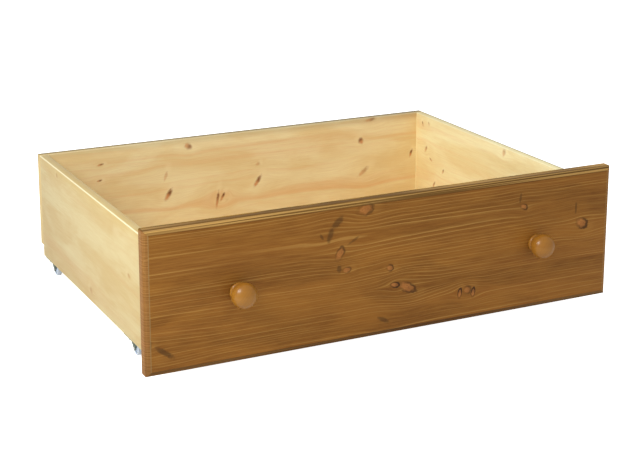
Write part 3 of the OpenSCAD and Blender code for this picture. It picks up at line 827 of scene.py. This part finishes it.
def knob_profile(low, high):
    """A turned knob's outline from the face outwards: beaded collar, groove, and a round head."""
    length = high.y - low.y
    head_r = (high.x - low.x) / 2
    bead = 4 * MM
    collar_r = 17 * MM
    neck_r = 13.6 * MM
    neck_at = 2 * bead + 0.3 * MM
    widest = (neck_at + length) * 0.49
    points = [(0, 0), (collar_r - 1.5 * MM, 0)]
    points += arc((collar_r - bead, bead), bead, -70, 78, 12)
    points += [(neck_r + 0.5 * MM, neck_at - 0.2 * MM), (neck_r, neck_at + 0.3 * MM)]
    start = math.acos(neck_r / head_r)
    behind = (widest - neck_at - 0.8 * MM) / math.sin(start)
    for i in range(13):
        a = -start + start * i / 13
        points.append((head_r * math.cos(a), widest + behind * math.sin(a)))
    for i in range(22):
        a = math.radians(90) * i / 22
        points.append((head_r * math.cos(a) ** 0.95, widest + (length - widest) * math.sin(a)))
    points.append((0, length))
    return points


class DRAWER_OT_knobs(bpy.types.Operator):
    """Turns the two knobs"""

    bl_idname = "drawer.knobs"
    bl_label = "Knobs"

    def execute(self, context):
        wood = settings()[0]
        for side in ("left", "right"):
            node = side + "_knob"
            low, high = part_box(node)
            seat = Vector(((low.x + high.x) / 2, high.y, (low.z + high.z) / 2))
            piece = turned(side + "_turned_knob", knob_profile(low, high), seat, FACING_FRONT,
                           steps=96, smooth_angle=50)
            material = knob_material(palette(), wood, side + " knob lacquer", node)
            finish_piece(piece, node, material)
        return {"FINISHED"}


# ---------------------------------------------------------------- screws and balls


def paint_copies(w, copies, finish, out):
    """Ends a tree: makes its copies real and gives them their material."""
    solid = w.node("GeometryNodeRealizeInstances")
    w.put(solid.inputs[0], copies)
    painted = w.node("GeometryNodeSetMaterial")
    w.feed(painted, {"Geometry": solid.outputs[0], "Material": finish})
    w.put(out, painted.outputs[0])


def place_tree():
    """Puts a copy of one object on every point, each turned by chance about its own axis."""
    tree, w, given, out = new_group(
        "Place on points",
        [("Geometry", "Geometry"), ("Fastener", "Object"), ("Turn", "Rotation"), ("Most Spin", "Float", 1.5),
         ("Seed", "Int", 3), ("Finish", "Material")],
        [("Geometry", "Geometry")], kind="GeometryNodeTree")
    info = w.node("GeometryNodeObjectInfo")
    w.put(info.inputs["Object"], given["Fastener"])
    # only the inputs and output of its own data type are in use on this node
    spin = w.node("FunctionNodeRandomValue", data_type="FLOAT")
    w.put(spin.inputs[3], given["Most Spin"])
    w.put(spin.inputs["Seed"], given["Seed"])
    axis = w.node("FunctionNodeAxisAngleToRotation")
    w.feed(axis, {"Axis": (0, 0, 1), "Angle": spin.outputs[1]})
    both = w.node("FunctionNodeRotateRotation", rotation_space="LOCAL")
    w.feed(both, {"Rotation": given["Turn"], "Rotate By": axis.outputs[0]})
    copies = w.node("GeometryNodeInstanceOnPoints")
    w.feed(copies, {"Points": given["Geometry"], "Instance": info.outputs["Geometry"],
                    "Rotation": both.outputs[0]})
    paint_copies(w, copies.outputs[0], given["Finish"], out["Geometry"])
    return tree


def ball_tree():
    """A ring of bearing balls about a point."""
    tree, w, given, out = new_group(
        "Ball ring",
        [("Geometry", "Geometry"), ("Count", "Int", 14), ("Ring Radius", "Float", 0.008),
         ("Ball Radius", "Float", 0.0012), ("Centre", "Vector"), ("Finish", "Material")],
        [("Geometry", "Geometry")], kind="GeometryNodeTree")
    ring = w.node("GeometryNodeMeshCircle")
    w.feed(ring, {"Vertices": given["Count"], "Radius": given["Ring Radius"]})
    ball = w.node("GeometryNodeMeshUVSphere")
    w.feed(ball, {"Segments": 16, "Rings": 10, "Radius": given["Ball Radius"]})
    copies = w.node("GeometryNodeInstanceOnPoints")
    w.feed(copies, {"Points": ring.outputs[0], "Instance": ball.outputs["Mesh"]})
    moved = w.node("GeometryNodeTransform")
    w.feed(moved, {"Geometry": copies.outputs[0], "Translation": given["Centre"]})
    paint_copies(w, moved.outputs[0], given["Finish"], out["Geometry"])
    return tree


def evaluated_mesh(piece):
    """What a piece's modifiers make of it, as a plain mesh."""
    bpy.context.view_layer.update()
    evaluated = piece.evaluated_get(bpy.context.evaluated_depsgraph_get())
    return bpy.data.meshes.new_from_object(evaluated)


def grown_piece(name, points, tree, values):
    """Runs a Geometry Nodes tree on loose points and keeps its result as a plain mesh."""
    source = bpy.data.meshes.new(name + " points")
    source.from_pydata(points, [], [])
    holder = add_object(name + "_holder", source)
    modifier = holder.modifiers.new("Grow", "NODES")
    modifier.node_group = tree
    sockets = {s.name: s.identifier for s in tree.interface.items_tree if s.in_out == "INPUT"}
    for label, value in values.items():
        modifier[sockets[label]] = value
    mesh = evaluated_mesh(holder)
    mesh.name = name
    bpy.data.objects.remove(holder)
    mesh.shade_smooth()
    mesh.set_sharp_from_angle(angle=math.radians(35))
    return add_object(name, mesh)


PLAIN_SHANK = 0.86  # the plain part of a screw's shank, as a share of its radius over the thread


def screw_profile(shank_r, length, pitch):
    """The shank of a wood screw from the head inwards, with ring-shaped threads and a point."""
    at = min(0.3 * length, 8 * MM)
    root_r = shank_r * 0.74
    points = [(shank_r * PLAIN_SHANK, at)]
    while at < length - 2.4 * shank_r:
        points += [(shank_r, at + 0.25 * pitch), (root_r, at + 0.6 * pitch), (root_r, at + pitch)]
        at += pitch
    points += [(0.15 * MM, length - 0.05 * MM), (0, length)]
    return points


def screw_object(name, head_profile, shank_r, length, pitch, recess):
    """One screw along +Z with its head's seat at zero and a cross recess cut into its top."""
    profile = head_profile + screw_profile(shank_r, length, pitch)
    screw = turned(name, profile, Vector(), UPRIGHT, steps=20)
    top = head_profile[0][1]
    bm = bmesh.new()
    for angle in (0, 90):
        turn = Matrix.Translation((0, 0, top)) @ Matrix.Rotation(math.radians(angle), 4, "Z")
        size = Matrix.Diagonal((recess * 2, recess * 0.36, recess * 1.1, 1))
        bmesh.ops.create_cube(bm, size=1.0, matrix=turn @ size)
    cutter = add_object(name + "_cutter", mesh_from(bm, name + " cutter"))
    cut = screw.modifiers.new("Recess", "BOOLEAN")
    cut.object = cutter
    cut.solver = "EXACT"
    cut.use_self = True
    result = evaluated_mesh(screw)
    for used in (cutter, screw):
        bpy.data.objects.remove(used)
    return add_object(name, result)


def countersunk(name, shank_r, head_r, length, pitch):
    edge = 0.3 * MM
    neck = (shank_r * PLAIN_SHANK, head_r - shank_r + edge)
    profile = [(0, 0), (head_r - edge, 0), (head_r, edge), neck]
    return screw_object(name, profile, shank_r, length, pitch, head_r * 0.5)


def pan(name, shank_r, head_r, head_t, length, pitch):
    profile = [(0, -head_t)]
    for i in range(1, 9):
        a = math.radians(90 * i / 8)
        profile.append((head_r * math.sin(a), -head_t * math.cos(a) ** 0.8 if i < 8 else -0.15 * MM))
    profile += [(head_r, 0), (shank_r * PLAIN_SHANK, 0)]
    return screw_object(name, profile, shank_r, length, pitch, head_r * 0.5)


def spaced(first, last, count):
    """Evenly spaced places from the first to the last."""
    return [first + (last - first) * i / (count - 1) for i in range(count)]


class DRAWER_OT_screws(bpy.types.Operator):
    """Makes the screws in the back, blocks, base, runners, knobs and castor plates"""

    bl_idname = "drawer.screws"
    bl_label = "Screws"

    def execute(self, context):
        castor = settings()[1]
        kit = palette()
        steel = metal_material(kit, "screw steel", castor.steel, 0.28, 0.2)
        zinc = metal_material(kit, "plate screw zinc", castor.zinc, 0.32, 0.3)
        tree = place_tree()
        pitch = castor.thread_pitch
        self.group_of(tree, steel, "back_screws", "back_wood_screws", FACING_FRONT, pitch, 2, 3)
        self.base_screws(tree, steel, pitch)
        self.plate_screws(tree, zinc, pitch)
        for node in ("runner_screws", "corner_block_screws", "knob_screws", "knob_washers"):
            dress(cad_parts[node], steel)
        return {"FINISHED"}

    def place(self, tree, finish, node, name, fastener, points, turn, slot):
        values = {"Fastener": fastener, "Turn": turn, "Finish": finish}
        piece = grown_piece(name, points, tree, values)
        bpy.data.objects.remove(fastener)
        finish_piece(piece, node, finish)

    def group_of(self, tree, finish, node, name, turn, pitch, columns, rows):
        """Screws in a grid on the rear face, driven towards the front."""
        low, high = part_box(node)
        head_r = 4 * MM
        shank_r = 2 * MM
        length = high.y - low.y
        fastener = countersunk(name + "_one", shank_r, head_r, length, pitch)
        xs = spaced(low.x + head_r, high.x - head_r, columns)
        zs = spaced(low.z + head_r, high.z - head_r, rows)
        points = [(x, high.y, z) for x in xs for z in zs]
        self.place(tree, finish, node, name, fastener, points, turn, "screw_steel")

    def base_screws(self, tree, finish, pitch):
        """A row of small screws driven up through the base into the back."""
        low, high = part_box("base_screws")
        head_r = (high.y - low.y) / 2
        fastener = countersunk("base_screw_one", head_r / 2, head_r, high.z - low.z, pitch * 0.75)
        points = [(x, (low.y + high.y) / 2, low.z) for x in spaced(low.x + head_r, high.x - head_r, 5)]
        self.place(tree, finish, "base_screws", "base_wood_screws", fastener, points, UPRIGHT, "screw_steel")

    def plate_screws(self, tree, finish, pitch):
        """Four pan-head screws under each castor plate."""
        low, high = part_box("castor_screws")
        plates = [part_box(corner + "_plate") for corner in CORNERS]
        under = plates[0][1].z - 2 * MM
        head_t = under - low.z
        head_r = 3.4 * MM
        inset_x = (plates[1][1].x - high.x) + head_r
        inset_y = (plates[2][1].y - high.y) + head_r
        fastener = pan("plate_screw_one", 1.75 * MM, head_r, head_t, high.z - under, pitch)
        points = [(x, y, under) for p in plates
                  for x in (p[0].x + inset_x, p[1].x - inset_x) for y in (p[0].y + inset_y, p[1].y - inset_y)]
        self.place(tree, finish, "castor_screws", "plate_pan_screws", fastener, points, UPRIGHT,
                   "castor_zinc")


# ---------------------------------------------------------------- castors


def wheel_profile(low, high):
    """A moulded wheel's outline across its axis: rounded tread, dished web and a long hub."""
    r = (high.z - low.z) / 2
    hub = (high.x - low.x) / 2
    half = hub - 1 * MM
    web = half * 0.5
    hub_r = r * 0.32
    rim = r - 3.3 * MM
    tread = 1.6 * MM
    right = [(0, hub), (hub_r - 0.4 * MM, hub), (hub_r, hub - 0.4 * MM), (hub_r + 0.2 * MM, web + 0.5 * MM),
             (hub_r + 0.7 * MM, web), (rim - 0.6 * MM, web), (rim, web + 0.6 * MM),
             (rim + 0.3 * MM, half - 0.3 * MM), (rim + 0.6 * MM, half)]
    right += arc((r - tread, half - tread), tread, 80, 10, 6)
    right += [(r - 0.02 * MM, half - 2 * MM), (r, 0)]
    return right + [(radius, -at) for radius, at in reversed(right[:-1])]


def rivet_profile(head_r, head_t, shank_r, length):
    """A rivet with a domed head at each end, along its axis from end to end."""
    dome = [(head_r * math.sin(math.radians(15 * i)), head_t * (1 - math.cos(math.radians(15 * i)) ** 0.8))
            for i in range(6)]
    dome.append((head_r, head_t * 0.8))
    dome += [(head_r, head_t), (shank_r, head_t)]
    return dome + [(radius, length - at) for radius, at in reversed(dome)]


class DRAWER_OT_castors(bpy.types.Operator):
    """Makes the four castors: plate, king rivet, balls, fork, axle and wheel"""

    bl_idname = "drawer.castors"
    bl_label = "Castors"

    def execute(self, context):
        castor = settings()[1]
        kit = palette()
        zinc = metal_material(kit, "castor zinc", castor.zinc, 0.34, 0.45)
        steel = metal_material(kit, "rivet steel", castor.steel, 0.2, 0.1)
        nylon = wheel_material(kit, castor.nylon)
        balls = ball_tree()
        for corner in CORNERS:
            body = corner + "_castor"
            plate = eased_copy(corner + "_plate", corner + "_top_plate", castor.sheet_arris, 6 * MM)
            finish_piece(plate, corner + "_plate", zinc)
            self.king(corner, steel)
            self.ball_ring(corner, balls, steel)
            fork = eased_copy(corner + "_fork", corner + "_pressed_fork", castor.sheet_arris, 3 * MM)
            finish_piece(fork, corner + "_fork", zinc, body)
            low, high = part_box(corner + "_axle")
            length = high.x - low.x
            profile = rivet_profile((high.z - low.z) / 2, 1.2 * MM, 2 * MM, length)
            end = middle(corner + "_axle") - Vector((length / 2, 0, 0))
            axle = turned(corner + "_axle_rivet", profile, end, ALONG_X, steps=32, smooth_angle=40)
            finish_piece(axle, corner + "_axle", steel, body)
            low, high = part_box(corner + "_wheel")
            wheel = turned(corner + "_moulded_wheel", wheel_profile(low, high), middle(corner + "_wheel"),
                           ALONG_X, steps=64, smooth_angle=40)
            finish_piece(wheel, corner + "_wheel", nylon, corner + "_wheel")
        return {"FINISHED"}

    def king(self, corner, steel):
        low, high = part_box(corner + "_king_rivet")
        head_r = (high.x - low.x) / 2
        head_t = 1.4 * MM
        shank_r = head_r - 1.5 * MM
        dome = [(head_r * math.sin(math.radians(18 * i)), head_t * (1 - math.cos(math.radians(18 * i))))
                for i in range(5)]
        profile = dome + [(head_r, head_t * 0.8), (head_r, head_t), (shank_r, head_t),
                          (shank_r, high.z - low.z), (0, high.z - low.z)]
        centre = middle(corner + "_king_rivet")
        pin = turned(corner + "_king_pin", profile, Vector((centre.x, centre.y, low.z)), UPRIGHT, steps=32)
        finish_piece(pin, corner + "_king_rivet", steel)

    def ball_ring(self, corner, tree, steel):
        low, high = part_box(corner + "_race_balls")
        ball_r = (high.z - low.z) / 2
        centre = middle(corner + "_plate")
        values = {"Count": 14, "Ring Radius": (high.x - low.x) / 2 - ball_r, "Ball Radius": ball_r,
                  "Centre": (centre.x, centre.y, (low.z + high.z) / 2), "Finish": steel}
        piece = grown_piece(corner + "_bearing_balls", [], tree, values)
        finish_piece(piece, corner + "_race_balls", steel)


# ---------------------------------------------------------------- stage


# each lamp: where it stands and its width
KEY_LAMP = Vector((-2.3, -0.9, 2.3)), 1.6
FILL_LAMP = Vector((1.0, -2.6, 1.2)), 2.0
# the camera: its place from the front's lower left corner, its right and up, its lens and its shift
CAMERA_STAND = Vector((-0.813, -2.271, 1.021))
CAMERA_RIGHT = Vector((0.89514, -0.44578, 0.00186))
CAMERA_UP = Vector((0.10555, 0.21600, 0.97067))
CAMERA_LENS = 86.8
CAMERA_SHIFT = -0.15


class DRAWER_OT_stage(bpy.types.Operator):
    """Sets the floor, the soft lights and the camera"""

    bl_idname = "drawer.stage"
    bl_label = "Stage"

    def execute(self, context):
        stage = settings()[2]
        scene = context.scene
        scene.view_settings.view_transform = "Standard"
        self.floor(stage)
        self.world(scene, stage)
        middle_of_box = (Vector(CAD_BOUNDS[0]) + Vector(CAD_BOUNDS[1])) / 2
        self.lamp("key softbox", *KEY_LAMP, middle_of_box, stage.key_power)
        fill = self.lamp("front fill", *FILL_LAMP, middle_of_box, stage.fill_power)
        fill.visible_glossy = False
        self.camera(scene)
        return {"FINISHED"}

    def floor(self, stage):
        """A floor that looks plain white, and clear from below."""
        bm = bmesh.new()
        bmesh.ops.create_grid(bm, x_segments=1, y_segments=1, size=stage.floor_size / 2)
        floor = add_object("studio_floor", mesh_from(bm, "studio floor"))
        material, w, shader, _ = new_material("pale studio floor")
        w.feed(shader, {
            "Base Color": (0.9, 0.9, 0.9, 1),
            "Roughness": 0.9,
            "Specular IOR Level": 0.1,
            "Emission Color": (1, 1, 1, 1),
            "Emission Strength": w.node("ShaderNodeLightPath").outputs["Is Camera Ray"],
            "Alpha": w.minus(1.0, w.node("ShaderNodeNewGeometry").outputs["Backfacing"]),
        })
        floor.data.materials.append(material)

    def world(self, scene, stage):
        world = bpy.data.worlds.new("studio")
        scene.world = world
        world.use_nodes = True
        w = Wiring(world.node_tree)
        background = world.node_tree.nodes["Background"]
        background.inputs["Color"].default_value = (1, 1, 1, 1)
        path = w.node("ShaderNodeLightPath").outputs
        seen = w.math("MAXIMUM", path["Is Camera Ray"], path["Is Transmission Ray"])
        w.put(background.inputs["Strength"], w.plus(w.times(seen, 1 - stage.sky), stage.sky))

    def lamp(self, name, place, size, target, power):
        light = bpy.data.lights.new(name, "AREA")
        light.energy = power
        light.shape = "DISK"
        light.size = size
        lamp = add_object(name, light)
        lamp.location = place
        lamp.rotation_euler = (target - place).to_track_quat("-Z", "Y").to_euler()
        return lamp

    def camera(self, scene):
        """Stands to the left of the front and looks slightly down, with a small downward shift."""
        data = bpy.data.cameras.new("drawer camera")
        data.sensor_width = 36
        data.lens = CAMERA_LENS
        data.shift_y = CAMERA_SHIFT
        camera = add_object("drawer camera", data)
        turn = Matrix((CAMERA_RIGHT, CAMERA_UP, CAMERA_RIGHT.cross(CAMERA_UP))).transposed()
        stand = Vector(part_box("front_panel")[0]) + CAMERA_STAND
        camera.matrix_world = Matrix.Translation(stand) @ turn.to_4x4()
        scene.camera = camera


# ---------------------------------------------------------------- panel and registration


class DRAWER_PT_panel(bpy.types.Panel):
    """Lists the drawer's settings and the operators that make it"""

    bl_idname = "DRAWER_PT_panel"
    bl_label = "Under-bed Drawer"
    bl_space_type = "VIEW_3D"
    bl_region_type = "UI"
    bl_category = "Drawer"

    def draw(self, context):
        for group in settings():
            for name in group.bl_rna.properties.keys():
                if name not in ("rna_type", "name"):
                    self.layout.prop(group, name)
        for operator in OPERATORS:
            self.layout.operator(operator.bl_idname)


SETTINGS = (("drawer_wood", DrawerWoodSettings), ("drawer_castor", DrawerCastorSettings),
            ("drawer_stage", DrawerStageSettings))
OPERATORS = (DRAWER_OT_front, DRAWER_OT_box, DRAWER_OT_knobs, DRAWER_OT_screws, DRAWER_OT_castors,
             DRAWER_OT_stage)


def register():
    for name, group in SETTINGS:
        bpy.utils.register_class(group)
        setattr(bpy.types.Scene, name, bpy.props.PointerProperty(type=group))
    for cls in (*OPERATORS, DRAWER_PT_panel):
        bpy.utils.register_class(cls)


def unregister():
    for cls in (DRAWER_PT_panel, *reversed(OPERATORS)):
        bpy.utils.unregister_class(cls)
    for name, group in reversed(SETTINGS):
        delattr(bpy.types.Scene, name)
        bpy.utils.unregister_class(group)


def main():
    register()
    bpy.ops.drawer.front()
    bpy.ops.drawer.box()
    bpy.ops.drawer.knobs()
    bpy.ops.drawer.screws()
    bpy.ops.drawer.castors()
    bpy.ops.drawer.stage()


if __name__ == "__main__":
    main()
